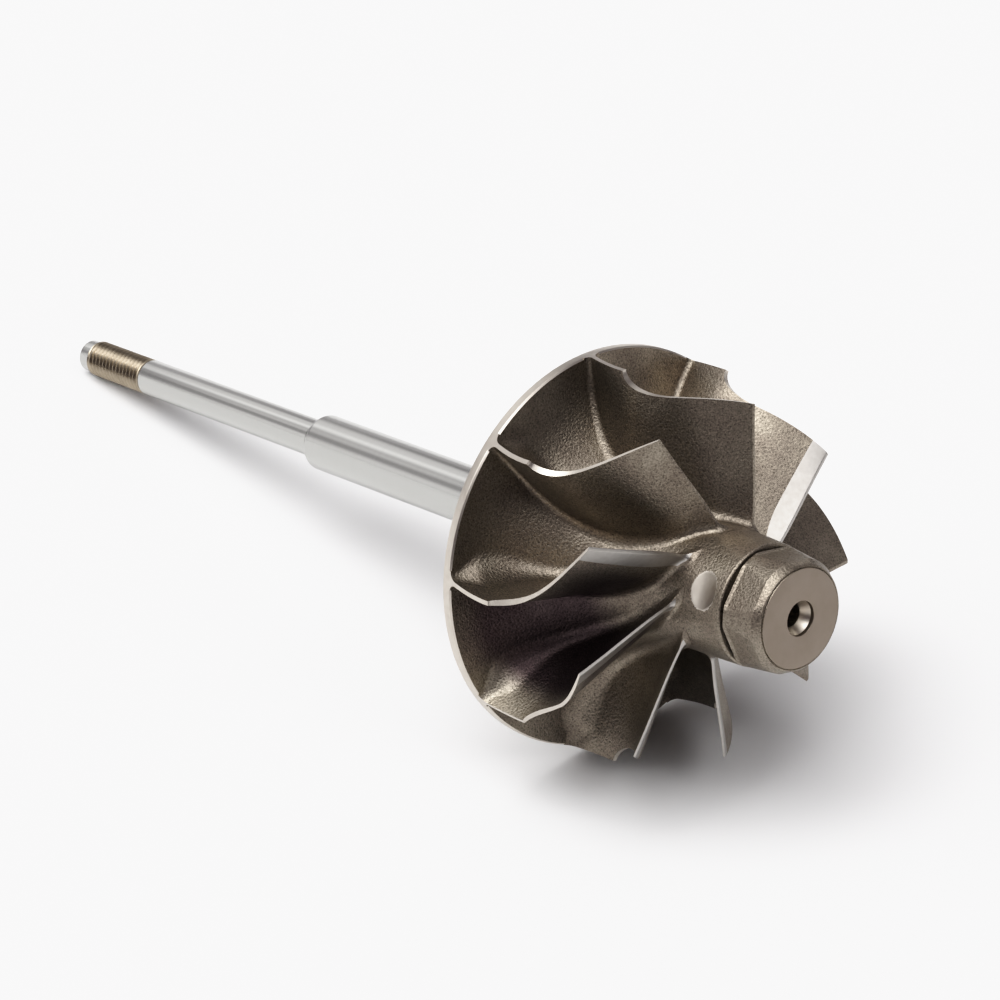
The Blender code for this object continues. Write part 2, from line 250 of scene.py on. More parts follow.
# Painted shade: one passage between blades is painted a dark purple-brown for the shade that
# falls deep in it. Its borders follow the blades beside it, which bend round the axis from their
# crest to their outlet.
CREST_X = 6.3 * MM
OUTLET_TIP_X = 18.9 * MM
OUTLET_TURN = 0.411
SHADED_PASSAGE_TURN = math.radians(100.0)
SHADED_PASSAGE_HALF_TURN = math.radians(20.0)
SHADED_PASSAGE_FADE_TURN = math.radians(2.0)
PAINTED_SHADE_STRENGTH = 0.8
PAINTED_SHADE_HUB_RADIUS = 8.5 * MM
PAINTED_SHADE_FULL_RADIUS = 11.0 * MM
PAINTED_SHADE_WANE_RADIUS = 20.0 * MM
spot = add_node(cast_alloy, "SeparateXYZ", {0: (place, "Vector")})
side_turn = add_node(cast_alloy, "Math", {
    0: (spot, "Y"), 1: (spot, "Z")}, operation="ARCTAN2")
past_crest = add_node(cast_alloy, "MapRange", {
    "Value": (spot, "X"), "From Min": CREST_X, "From Max": OUTLET_TIP_X})
twist = add_node(cast_alloy, "Math", {0: (past_crest, "Result"), 1: 2.0}, operation="POWER")
straight_turn = add_node(cast_alloy, "Math", {
    0: (twist, "Value"), 1: -OUTLET_TURN, 2: (side_turn, "Value")}, operation="MULTIPLY_ADD")
shaded_passage_way = add_node(cast_alloy, "Math", {
    0: (straight_turn, "Value"), 1: SHADED_PASSAGE_TURN}, operation="ADD")
off_turn = add_node(cast_alloy, "Math", {0: (shaded_passage_way, "Value")}, operation="ABSOLUTE")
painted_shade_side = add_node(cast_alloy, "MapRange", {
    "Value": (off_turn, "Value"), "From Min": SHADED_PASSAGE_HALF_TURN + SHADED_PASSAGE_FADE_TURN,
    "From Max": SHADED_PASSAGE_HALF_TURN - SHADED_PASSAGE_FADE_TURN, "To Max": PAINTED_SHADE_STRENGTH},
    interpolation_type="SMOOTHSTEP")
across = add_node(cast_alloy, "VectorMath", {
    0: (place, "Vector"), 1: (0.0, 1.0, 1.0)}, operation="MULTIPLY")
off_axis = add_node(cast_alloy, "VectorMath", {0: (across, "Vector")}, operation="LENGTH")
painted_shade_inner = add_node(cast_alloy, "MapRange", {
    "Value": (off_axis, "Value"), "From Min": PAINTED_SHADE_HUB_RADIUS, "From Max": PAINTED_SHADE_FULL_RADIUS},
    interpolation_type="SMOOTHSTEP")
painted_shade_outer = add_node(cast_alloy, "MapRange", {
    "Value": (off_axis, "Value"), "From Min": WHEEL_RADIUS, "From Max": PAINTED_SHADE_WANE_RADIUS},
    interpolation_type="SMOOTHSTEP")
painted_shade_ring = add_node(cast_alloy, "Math", {
    0: (painted_shade_inner, "Result"), 1: (painted_shade_outer, "Result")}, operation="MULTIPLY")
painted_shade = add_node(cast_alloy, "Math", {
    0: (painted_shade_ring, "Value"), 1: (painted_shade_side, "Result")}, operation="MULTIPLY")
# The painted shade's dark purple-brown, mixed into the alloy's colour in that passage
painted_shade_colour = add_node(cast_alloy, "Mix", {
    "Factor": (painted_shade, "Value"), MIX_A: (alloy_colour, MIX_RESULT), MIX_B: srgb("#40313a")},
    data_type="RGBA")

# Painted highlight: the corner of that passage by the rim and the lower blade is painted paler
# where light falls on it.
PAINTED_LIGHT_START_RADIUS = 19.0 * MM
PAINTED_LIGHT_FULL_RADIUS = 23.0 * MM
PAINTED_LIGHT_START_TURN = math.radians(-4.0)
PAINTED_LIGHT_FULL_TURN = math.radians(-13.0)
near_rim = add_node(cast_alloy, "MapRange", {
    "Value": (off_axis, "Value"), "From Min": PAINTED_LIGHT_START_RADIUS,
    "From Max": PAINTED_LIGHT_FULL_RADIUS}, interpolation_type="SMOOTHSTEP")
near_blade = add_node(cast_alloy, "MapRange", {
    "Value": (shaded_passage_way, "Value"), "From Min": PAINTED_LIGHT_START_TURN,
    "From Max": PAINTED_LIGHT_FULL_TURN}, interpolation_type="SMOOTHSTEP")
painted_light_corner = add_node(cast_alloy, "Math", {
    0: (near_rim, "Result"), 1: (near_blade, "Result")}, operation="MULTIPLY")
painted_light = add_node(cast_alloy, "Math", {
    0: (painted_light_corner, "Value"), 1: (painted_shade_side, "Result")}, operation="MULTIPLY")
# The painted highlight's pale colour, mixed in over the painted shade
painted_light_and_shade = add_node(cast_alloy, "Mix", {
    "Factor": (painted_light, "Value"), MIX_A: (painted_shade_colour, MIX_RESULT), MIX_B: srgb("#a59e91")},
    data_type="RGBA")

# Grain and pits speckle every colour of the casting, and stand out as small bumps.
grain_mix = add_node(cast_alloy, "MapRange", {
    "Value": (grain, "Fac"), "From Min": 0.4, "From Max": 0.6, "To Min": 0.78, "To Max": 1.14})
pit_mix = add_node(cast_alloy, "MapRange", {
    "Value": (pits, "Distance"), "From Min": 0.1, "From Max": 0.4, "To Min": 0.6, "To Max": 1.08})
speckle = add_node(cast_alloy, "Math", {
    0: (grain_mix, "Result"), 1: (pit_mix, "Result")}, operation="MULTIPLY")
speckled = add_node(cast_alloy, "VectorMath", {
    0: (painted_light_and_shade, MIX_RESULT), "Scale": (speckle, "Value")}, operation="SCALE")
grain_bump = add_node(cast_alloy, "Bump", {
    "Height": (grain, "Fac"), "Strength": 0.9, "Distance": 0.045 * MM})
pit_bump = add_node(cast_alloy, "Bump", {
    "Height": (pits, "Distance"), "Strength": 0.6, "Distance": 0.05 * MM,
    "Normal": (grain_bump, "Normal")})
cast_rough = add_node(cast_alloy, "MapRange", {
    "Value": (stains, "Fac"), "From Min": 0.3, "From Max": 0.7, "To Min": 0.38, "To Max": 0.48})
links = cast_alloy.node_tree.links
links.new(speckled.outputs["Vector"], shader.inputs["Base Color"])
links.new(cast_rough.outputs["Result"], shader.inputs["Roughness"])
links.new(pit_bump.outputs["Normal"], shader.inputs["Normal"])

# The same alloy where a lathe tool or a grinding wheel has cut it: bright and warm grey. Its
# tool marks are about 0.05 mm apart, and are drawn as a faint mottle of 1.1 mm to show at all.
CUT_MOTTLE = 1.111 * MM
turned_alloy, shader = new_material("nickel_alloy_turned_bright")
place = add_node(turned_alloy, "TexCoord", {})
mottle = add_node(turned_alloy, "TexNoise", {
    "Vector": (place, "Object"), "Scale": 1.0 / CUT_MOTTLE, "Detail": 2.0})
cut_tone = add_node(turned_alloy, "Mix", {
    "Factor": (mottle, "Fac"), MIX_A: srgb("#d8d2c8"), MIX_B: srgb("#c2bab0")},
    data_type="RGBA")
cut_bump = add_node(turned_alloy, "Bump", {
    "Height": (mottle, "Fac"), "Strength": 0.25, "Distance": 0.02 * MM})
shader.inputs["Roughness"].default_value = 0.34
links = turned_alloy.node_tree.links
links.new(cut_tone.outputs[MIX_RESULT], shader.inputs["Base Color"])
links.new(cut_bump.outputs["Normal"], shader.inputs["Normal"])

back = [Vector((BOSS_BACK_X, 0.0)), Vector((BOSS_BACK_X, COLLAR_RADIUS))]
boss = []
for i in range(1, BOSS_STEPS + 1):
    angle = math.pi / 2 * i / BOSS_STEPS
    boss.append(Vector((
        BOSS_BACK_X + (DISC_BACK_X - BOSS_BACK_X) * math.sin(angle),
        DISC_BACK_RADIUS - (DISC_BACK_RADIUS - COLLAR_RADIUS) * math.cos(angle))))
rim = rounded([
    (DISC_TAPER_X, DISC_TAPER_RADIUS, 0.0),
    (RIM_BACK_X, WHEEL_RADIUS - RIM_LAND, RIM_LAND_ROUNDING),
    (RIM_BACK_X, WHEEL_RADIUS, RIM_BACK_ROUNDING),
    (-RIM_EDGE, WHEEL_RADIUS, RIM_EDGE_ROUNDING),
    (0.0, WHEEL_RADIUS - RIM_EDGE, 0.0),
])
face = []
for i in range(FLARE_STEPS + 1):
    face.append(Vector(flare_point(FLARE_START + (1.0 - FLARE_START) * i / FLARE_STEPS)))
barrel = []
for i in range(1, BARREL_STEPS + 1):
    share = i / BARREL_STEPS
    barrel.append(Vector((
        FLARE_END_X + (BARREL_END_X - FLARE_END_X) * share,
        HUB_RADIUS + (HUB_FRONT_RADIUS - HUB_RADIUS) * share)))
groove = rounded([
    (BARREL_END_X, HUB_FRONT_RADIUS, 0.0),
    (HUB_FRONT_X, HUB_FRONT_RADIUS, HUB_FRONT_ROUNDING),
    (HUB_FRONT_X, NOSE_NECK_RADIUS, NOSE_NECK_ROUNDING),
    (NOSE_BACK_X, NOSE_NECK_RADIUS, 0.0),
    (NOSE_BACK_X, 0.0, 0.0),
])
casting = turned(back + boss + rim + face + barrel + groove[1:], WHEEL_SIDES,
                 lambda x, radius, turn: min(radius, oval_flat(x, turn)))
for cell in casting.faces:
    centre = cell.calc_center_median()
    radius = math.hypot(centre.y, centre.z)
    turn = math.atan2(-centre.y, centre.z)
    on_rim = centre.x < 0.0 and radius > WHEEL_RADIUS - RIM_TURNED_DEPTH
    on_barrel = centre.x > FLARE_END_X
    if on_rim or on_barrel and radius > oval_flat(centre.x, turn) - OVAL_MARGIN:
        cell.material_index = 1
wheel_body = finished("wheel_disc_and_hub", casting, cast_alloy, turned_alloy)
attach(wheel_body, "root")
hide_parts("back_disc", "hub_flare", "hub", "back_boss")


# The nine blades
# Each is cast in one with the disc and hub and runs into them through a hollow fillet. Inlet
# and outer edges are turned with the wheel to fit the housing, so they are bright. Five blades
# also have a strip ground by hand on their far face, along the outlet.
BLADE_COUNT = 9
BLADE_PHASE = math.radians(-1.4)
INLET_WIDTH = 6.85 * MM
OUTLET_RADIUS = 22.2 * MM
SHROUD_ARC_END_X = 12.4 * MM
INLET_LEAN = 0.037
ROOT_TURN = 0.2
ROOT_TURN_POWER = 2.3
ROOT_TURN_START_X = 8.0 * MM
EDGE_THICKNESS = 0.55 * MM
EDGE_SWELL = 0.2 * MM
EDGE_SWELL_SHARE = 0.44
ROOT_THICKNESS = 1.6 * MM
ROOT_THICKNESS_SHARE = 0.5
NEAR_HALF = 0.3 * MM
FOOT_FILLET = 0.9 * MM
NEAR_INLET_FILLET = 3.2 * MM
INLET_FILLET_SHARE = 0.14
NEAR_ROOT_FILLET = 1.5 * MM
FAR_ROOT_FILLET = 1.1 * MM
ROOT_FILLET_SHARE = 0.35
ROOT_SINK = 0.4 * MM
BROKEN_EDGE = 0.04 * MM
OUTLET_TAPER = 4.5 * MM
OUTLET_THICKNESS = 0.45 * MM
# Width of each blade's ground strip at the hub and at the tip. One of 0.1 mm isn't ground.
STRIP_WIDTHS = (
    (0.1 * MM, 0.1 * MM), (0.1 * MM, 0.1 * MM), (2.0 * MM, 0.9 * MM),
    (1.4 * MM, 1.2 * MM), (1.3 * MM, 1.0 * MM), (0.5 * MM, 0.4 * MM),
    (0.1 * MM, 0.1 * MM), (0.1 * MM, 0.1 * MM), (1.75 * MM, 1.2 * MM),
)
LEAST_GROUND_WIDTH = 0.3 * MM
STRIP_SLOPE = 0.11
STRIP_END = 0.4
STRIP_END_WIDTH = 0.1
STRIP_FIRST_LEVEL = 6
STRIP_COLUMNS = 8
BLADE_COLUMNS = 76
BLADE_LEVELS = 44
LEVEL_CROWDING = 1.7
CORNER_STEPS = 4
INLET_FACE_STEPS = 4
SHARE_PRECISION = 1e-4


def smooth_step(value):
    """Smooth rise from 0 to 1 as a value goes from 0 to 1."""
    value = min(max(value, 0.0), 1.0)
    return value * value * (3.0 - 2.0 * value)


def shroud_point(share):
    """Point (x, radius) on a blade's outer edge: a quarter of an ellipse, then straight."""
    if share < 0.5:
        angle = share * math.pi
        x = SHROUD_ARC_END_X - (SHROUD_ARC_END_X - INLET_WIDTH) * math.cos(angle)
        return x, WHEEL_RADIUS - (WHEEL_RADIUS - OUTLET_RADIUS) * math.sin(angle)
    along = 2.0 * share - 1.0
    return SHROUD_ARC_END_X + (OUTLET_TIP_X - SHROUD_ARC_END_X) * along, OUTLET_RADIUS


def blade_turn(x, radius):
    """Angle of a blade's middle surface round the axis."""
    if x < CREST_X:
        turn = -INLET_LEAN * ((CREST_X - x) / CREST_X) ** 2
    else:
        turn = -OUTLET_TURN * ((x - CREST_X) / (OUTLET_TIP_X - CREST_X)) ** 2
    reach = max(0.0, (x - ROOT_TURN_START_X) / (FLARE_END_X - ROOT_TURN_START_X))
    depth = max(0.0, (OUTLET_RADIUS - radius) / (OUTLET_RADIUS - HUB_RADIUS))
    return turn - ROOT_TURN * reach ** 2 * depth ** ROOT_TURN_POWER


def nearness(share, up, width):
    """How near a place is to the outlet edge: 1 at the edge, and 0 a width short of it."""
    x = flare_point(share)[0] + (shroud_point(share)[0] - flare_point(share)[0]) * up
    outlet_x = FLARE_END_X + (OUTLET_TIP_X - FLARE_END_X) * up
    return 1.0 - (outlet_x - x) / width


def fillet_reach(at_inlet, at_root, share, height):
    """How far the fillet at a blade's foot stands out at a height above the hub."""
    fillet = FOOT_FILLET + (at_inlet - FOOT_FILLET) * smooth_step(share / INLET_FILLET_SHARE)
    past_inlet = (share - INLET_FILLET_SHARE) / ROOT_FILLET_SHARE
    fillet += (at_root - at_inlet) * smooth_step(past_inlet)
    left = min(max(1.0 - height / fillet, 0.0), 1.0)
    return fillet * (1.0 - math.sqrt(1.0 - left ** 2))


def blade_section(share, up, sink, strip_width):
    """Place of a blade's section at a share along it and up it, how far its two faces stand
    from its middle surface, and how far its outlet edge is rounded."""
    root, tip = Vector(flare_point(share)), Vector(shroud_point(share))
    spot = root + (tip - root) * up - (tip - root).normalized() * sink
    swell = EDGE_SWELL * math.sin(math.pi * min(share / EDGE_SWELL_SHARE, 1.0))
    edge = EDGE_THICKNESS + swell
    stem_share = smooth_step(share / ROOT_THICKNESS_SHARE)
    stem = EDGE_THICKNESS + (ROOT_THICKNESS - EDGE_THICKNESS) * stem_share
    thickness = stem + (edge - stem) * up
    # The blade thins towards the outlet, and the strip is ground off its far face there
    thinned = OUTLET_THICKNESS + STRIP_SLOPE * strip_width
    thickness += (thinned - thickness) * smooth_step(nearness(share, up, OUTLET_TAPER))
    strip = min(max(nearness(share, up, strip_width), 0.0), 1.0)
    far = thickness - NEAR_HALF - STRIP_SLOPE * strip_width * strip
    height = (tip - root).length * up
    near_reach = fillet_reach(NEAR_INLET_FILLET, NEAR_ROOT_FILLET, share, height)
    far_reach = fillet_reach(FOOT_FILLET, FAR_ROOT_FILLET, share, height)
    corner = min(near_reach, far_reach) + BROKEN_EDGE
    return spot, NEAR_HALF + near_reach, far + far_reach, corner


def blade_ring(bm, phase, up, sink, strip_widths):
    """One closed ring of points round a blade, at a share of the way up from the hub: its
    near face and its far face, each with its half of the outlet edge, and its inlet face."""
    at_hub, at_tip = strip_widths
    # The strip narrows to a rounded end at the hub
    short = 1.0 - min(up / STRIP_END, 1.0)
    strip_width = at_hub + (at_tip - at_hub) * up
    strip_width *= STRIP_END_WIDTH + (1.0 - STRIP_END_WIDTH) * math.sqrt(1.0 - short ** 2)

    def put(x, radius, wide):
        return bm.verts.new(around(x, radius, phase + blade_turn(x, radius) + wide / radius))

    # The share along the blade at which its strip starts, by halving
    low, high = 0.5, 1.0
    while high - low > SHARE_PRECISION:
        half_way = (low + high) / 2
        in_strip = nearness(half_way, up, strip_width) > 0.0
        low, high = (low, half_way) if in_strip else (half_way, high)
    near, far, inlet = [], [], []
    for i in range(BLADE_COLUMNS + STRIP_COLUMNS + 1):
        share = low * i / BLADE_COLUMNS
        if i > BLADE_COLUMNS:
            share = low + (1.0 - low) * (i - BLADE_COLUMNS) / STRIP_COLUMNS
        spot, near_wide, far_wide, corner = blade_section(share, up, sink, strip_width)
        near.append(put(spot.x, spot.y, -near_wide))
        far.append(put(spot.x, spot.y, far_wide))
    for i in range(1, CORNER_STEPS + 1):
        angle = math.pi / 2 * i / CORNER_STEPS
        past, back = corner * math.sin(angle), corner * (1.0 - math.cos(angle))
        near.append(put(spot.x + past, spot.y, -near_wide + back))
        far.append(put(spot.x + past, spot.y, far_wide - back))
    spot, near_wide, far_wide, corner = blade_section(0.0, up, sink, strip_width)
    for i in range(1, INLET_FACE_STEPS):
        wide = far_wide - (near_wide + far_wide) * i / INLET_FACE_STEPS
        inlet.append(put(spot.x, spot.y, wide))
    return near, far, inlet


def blade(phase, strip_widths):
    """A blade as a stack of rings from under the hub's skin to the outer edge. Its turned
    inlet and outer edges and its ground strip are marked for their own finishes."""
    bm = bmesh.new()
    rings = [blade_ring(bm, phase, 0.0, ROOT_SINK, strip_widths)]
    for j in range(BLADE_LEVELS + 1):
        up = (j / BLADE_LEVELS) ** LEVEL_CROWDING
        rings.append(blade_ring(bm, phase, up, 0.0, strip_widths))
    loops = [near + far[::-1] + inlet for near, far, inlet in rings]
    columns = len(rings[0][0])
    outlet_edge = columns - 1
    strip_finish = columns + CORNER_STEPS + STRIP_COLUMNS
    inlet_face = 2 * columns - 1
    for level, (low, high) in enumerate(zip(loops, loops[1:])):
        ground = level >= STRIP_FIRST_LEVEL and strip_widths[0] > LEAST_GROUND_WIDTH
        for k in range(len(low)):
            after = (k + 1) % len(low)
            cell = bm.faces.new((low[k], low[after], high[after], high[k]))
            if k >= inlet_face:
                cell.material_index = 1
            elif ground and outlet_edge <= k < strip_finish:
                cell.material_index = 2
    for (near, far, inlet), finish in ((rings[0], 0), (rings[-1], 1)):
        for k in range(1, columns - 1):
            cell = bm.faces.new((near[k], near[k + 1], far[k + 1], far[k]))
            cell.material_index = finish
        cell = bm.faces.new([near[0], near[1], far[1], far[0]] + inlet)
        cell.material_index = finish
    return bm


# The strips were ground with a fine wheel after blasting: smoother than the casting and much
# lighter, with marks of about 0.05 mm that are drawn as a faint mottle of 0.7 mm to show.
GROUND_MOTTLE = 0.6667 * MM
ground_alloy, shader = new_material("nickel_alloy_hand_ground")
place = add_node(ground_alloy, "TexCoord", {})
mottle = add_node(ground_alloy, "TexNoise", {
    "Vector": (place, "Object"), "Scale": 1.0 / GROUND_MOTTLE, "Detail": 2.0})
strip_tone = add_node(ground_alloy, "Mix", {
    "Factor": (mottle, "Fac"), MIX_A: srgb("#b8b5b1"), MIX_B: srgb("#a39f9a")},
    data_type="RGBA")
shader.inputs["Roughness"].default_value = 0.36
ground_alloy.node_tree.links.new(strip_tone.outputs[MIX_RESULT], shader.inputs["Base Color"])

for number, strip_widths in enumerate(STRIP_WIDTHS, start=1):
    skin = blade(BLADE_PHASE + (number - 1) * math.tau / BLADE_COUNT, strip_widths)
    piece = finished(f"cast_blade_{number}", skin, cast_alloy, turned_alloy, ground_alloy)
    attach(piece, "root")
    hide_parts(f"blade_{number}")


# The nose
# A rounded hexagon, cast with the wheel, that a socket holds while the shaft's nut is turned.
# Its end is faced off inside a fine cut line, round a centre hole with a 60 degree cone, on
# which the rotor ran while it was ground.
NOSE_BODY_RADIUS = 7.45 * MM
NOSE_BACK_ROUNDING = 0.12 * MM
NOSE_SHOULDER_RADIUS = 7.0 * MM
NOSE_SHOULDER_X = 32.2 * MM
NOSE_EDGE_RADIUS = 6.4 * MM
NOSE_EDGE_X = 33.05 * MM
NOSE_EDGE_ROUNDING = 0.08 * MM
NOSE_FACE_RADIUS = 6.05 * MM
NOSE_FACE_ROUNDING = 0.03 * MM
NOSE_LINE_X = 33.15 * MM
NOSE_LINE_RADIUS = 6.25 * MM
NOSE_LINE_ROUNDING = 0.02 * MM
NOSE_LINE_DEPTH = 0.2 * MM
NOSE_LINE_FLOOR_RADII = (6.15 * MM, 6.11 * MM)
NOSE_FLAT_COUNT = 6
NOSE_FLAT_DISTANCE = 6.78 * MM
NOSE_FLAT_START = 6.98 * MM
NOSE_FLAT_RUN_OUT = 0.3 * MM
NOSE_FLAT_TURN = math.radians(46.0)
NOSE_FLAT_LEAST_RADIUS = 6.2 * MM
NOSE_BLEND = 0.05 * MM
NOSE_BODY_STEPS = 50
NOSE_FIRST_STEP = 4
HOLE_RADIUS = 2.14 * MM
HOLE_MOUTH_ROUNDING = 0.06 * MM
HOLE_CONE_START = 0.5 * MM
HOLE_CONE_DEPTH = 1.7 * MM
HOLE_CONE_ROUNDING = 0.1 * MM
PILOT_RADIUS = 1.45 * MM
PILOT_DEPTH = 4.5 * MM
NOSE_SIDES = 240


def nose_radius(x, radius, turn):
    """Radius with six flats worked into the round, blended over a short way."""
    if radius < NOSE_FLAT_LEAST_RADIUS:
        return radius
    step = math.tau / NOSE_FLAT_COUNT
    off = (turn - NOSE_FLAT_TURN + step / 2) % step - step / 2
    past_back = smooth_step((x - NOSE_BACK_X) / NOSE_FLAT_RUN_OUT)
    distance = NOSE_FLAT_DISTANCE + (NOSE_FLAT_START - NOSE_FLAT_DISTANCE) * (1.0 - past_back)
    flat = distance / math.cos(off)
    gap = max(NOSE_BLEND - abs(radius - flat), 0.0)
    return min(radius, flat) - gap ** 2 / (4 * NOSE_BLEND)


# The cast nose, faced by a tool: brown-grey and half dull, with cloudy patches of about 3 mm
# and a fine roughness of 0.4 mm.
FACED_PATCH = 3.333 * MM
FACED_GRAIN = 0.4 * MM
faced_alloy, shader = new_material("nickel_alloy_faced")
place = add_node(faced_alloy, "TexCoord", {})
patches = add_node(faced_alloy, "TexNoise", {
    "Vector": (place, "Object"), "Scale": 1.0 / FACED_PATCH, "Detail": 4.0, "Roughness": 0.6})
faced_tone = add_node(faced_alloy, "Mix", {
    "Factor": (patches, "Fac"), MIX_A: srgb("#948a80"), MIX_B: srgb("#857a6e")},
    data_type="RGBA")
fine = add_node(faced_alloy, "TexNoise", {
    "Vector": (place, "Object"), "Scale": 1.0 / FACED_GRAIN, "Detail": 3.0})
faced_bump = add_node(faced_alloy, "Bump", {
    "Height": (fine, "Fac"), "Strength": 0.3, "Distance": 0.03 * MM})
shader.inputs["Roughness"].default_value = 0.4
links = faced_alloy.node_tree.links
links.new(faced_tone.outputs[MIX_RESULT], shader.inputs["Base Color"])
links.new(faced_bump.outputs["Normal"], shader.inputs["Normal"])

# Many rings along the flats, so that the smooth shading keeps to each flat
nose_length = NOSE_SHOULDER_X - NOSE_BACK_X
nose_slope = (NOSE_SHOULDER_RADIUS - NOSE_BODY_RADIUS) / nose_length
nose_body = []
for i in range(NOSE_FIRST_STEP, NOSE_BODY_STEPS):
    past = nose_length * i / NOSE_BODY_STEPS
    nose_body.append((NOSE_BACK_X + past, NOSE_BODY_RADIUS + nose_slope * past, 0.0))
line_floor = [(NOSE_FACE_X - NOSE_LINE_DEPTH, radius, 0.0) for radius in NOSE_LINE_FLOOR_RADII]
sides_of_nose = rounded([
    (NOSE_BACK_X, 0.0, 0.0),
    (NOSE_BACK_X, NOSE_BODY_RADIUS, NOSE_BACK_ROUNDING),
] + nose_body + [
    (NOSE_SHOULDER_X, NOSE_SHOULDER_RADIUS, NOSE_EDGE_ROUNDING),
    (NOSE_EDGE_X, NOSE_EDGE_RADIUS, NOSE_EDGE_ROUNDING),
    (NOSE_LINE_X, NOSE_LINE_RADIUS, NOSE_LINE_ROUNDING),
] + line_floor + [
    (NOSE_FACE_X, NOSE_FACE_RADIUS, NOSE_FACE_ROUNDING),
    (NOSE_FACE_X, HOLE_RADIUS, HOLE_MOUTH_ROUNDING),
    (NOSE_FACE_X - HOLE_CONE_START, HOLE_RADIUS, HOLE_CONE_ROUNDING),
    (NOSE_FACE_X - HOLE_CONE_DEPTH, PILOT_RADIUS, HOLE_CONE_ROUNDING),
    (NOSE_FACE_X - PILOT_DEPTH, PILOT_RADIUS, 0.0),
    (NOSE_FACE_X - PILOT_DEPTH, 0.0, 0.0),
])
nose_skin = turned(sides_of_nose, NOSE_SIDES, nose_radius)
for cell in nose_skin.faces:
    centre = cell.calc_center_median()
    if math.hypot(centre.y, centre.z) < NOSE_FACE_RADIUS:
        if centre.x > NOSE_FACE_X - HOLE_CONE_START:
            cell.material_index = 1
        elif centre.x > NOSE_FACE_X - HOLE_CONE_DEPTH:
            cell.material_index = 2
nose = finished("hexagonal_nose", nose_skin, cast_alloy, faced_alloy, turned_alloy)
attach(nose, "root")
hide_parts("hex_nose")


# The sealing collar
# Hardened steel, turned and ground in one with the shaft and welded to the wheel's boss. Its
# groove holds a ring that seals the exhaust from the bearings.
COLLAR_BACK_X = -14.0 * MM
COLLAR_CHAMFER = 0.5 * MM
RING_GROOVE_BACK_X = -9.6 * MM
RING_GROOVE_FRONT_X = -8.0 * MM
RING_GROOVE_RADIUS = 5.9 * MM
GROUND_EDGE = 0.06 * MM
SHAFT_SIDES = 160

# Alloy steel ground between centres: pale and smooth, with hair lines round it every 0.1 mm
# or so, each of them some 25 mm long.
HAIR_SPACING = MM / 9
HAIR_LENGTH = 25.0 * MM
ground_steel, shader = new_material("alloy_steel_ground")
stretch = add_node(ground_steel, "Mapping", {
    "Vector": (rotor_axes(ground_steel), "Vector"),
    "Scale": (1.0 / HAIR_SPACING, 1.0 / HAIR_LENGTH, 1.0 / HAIR_LENGTH)})
hairs = add_node(ground_steel, "TexNoise", {
    "Vector": (stretch, "Vector"), "Scale": 1.0, "Detail": 2.0})
steel_tone = add_node(ground_steel, "Mix", {
    "Factor": (hairs, "Fac"), MIX_A: srgb("#c6c6c3"), MIX_B: srgb("#b8b8b4")},
    data_type="RGBA")
hair_bump = add_node(ground_steel, "Bump", {
    "Height": (hairs, "Fac"), "Strength": 0.15, "Distance": 0.01 * MM})
shader.inputs["Roughness"].default_value = 0.2
links = ground_steel.node_tree.links
links.new(steel_tone.outputs[MIX_RESULT], shader.inputs["Base Color"])
links.new(hair_bump.outputs["Normal"], shader.inputs["Normal"])

collar_outline = rounded([
    (COLLAR_BACK_X, 0.0, 0.0),
    (COLLAR_BACK_X, COLLAR_RADIUS - COLLAR_CHAMFER, GROUND_EDGE),
    (COLLAR_BACK_X + COLLAR_CHAMFER, COLLAR_RADIUS, GROUND_EDGE),
    (RING_GROOVE_BACK_X, COLLAR_RADIUS, GROUND_EDGE),
    (RING_GROOVE_BACK_X, RING_GROOVE_RADIUS, GROUND_EDGE),
    (RING_GROOVE_FRONT_X, RING_GROOVE_RADIUS, GROUND_EDGE),
    (RING_GROOVE_FRONT_X, COLLAR_RADIUS, GROUND_EDGE),
    (BOSS_BACK_X, COLLAR_RADIUS, 0.0),
    (BOSS_BACK_X, 0.0, 0.0),
])
collar = finished("ground_seal_collar", turned(collar_outline, SHAFT_SIDES), ground_steel)
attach(collar, "root")
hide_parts("seal_collar")


# The journal and its shoulder
# The thick part of the steel shaft, ground to run in the floating bearings. It ends in a short
# cone down to the size of the compressor wheel's bore.
JOURNAL_RADIUS = 3.71 * MM
JOURNAL_END_X = -55.3 * MM
JOURNAL_ROUNDING = 0.25 * MM
SHOULDER_END_X = -56.9 * MM
SEAT_RADIUS = 2.49 * MM
journal_outline = rounded([
    (SHOULDER_END_X, 0.0, 0.0),
    (SHOULDER_END_X, SEAT_RADIUS, 0.0),
    (JOURNAL_END_X, JOURNAL_RADIUS, JOURNAL_ROUNDING),
    (COLLAR_BACK_X, JOURNAL_RADIUS, 0.0),
    (COLLAR_BACK_X, 0.0, 0.0),
])
journal = finished("ground_journal", turned(journal_outline, SHAFT_SIDES), ground_steel)
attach(journal, "root")
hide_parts("journal", "shoulder")


# The compressor seat
# The slim part of the same steel shaft, ground to a slide fit for the compressor wheel, which
# a nut clamps on it.
SEAT_END_X = -94.3 * MM
SEAT_ROUNDING = 0.2 * MM
seat_outline = rounded([
    (SEAT_END_X, 0.0, 0.0),
    (SEAT_END_X, SEAT_RADIUS, SEAT_ROUNDING),
    (SHOULDER_END_X, SEAT_RADIUS, 0.0),
    (SHOULDER_END_X, 0.0, 0.0),
])
seat = finished("ground_compressor_seat", turned(seat_outline, SHAFT_SIDES), ground_steel)
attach(seat, "root")
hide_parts("compressor_seat")


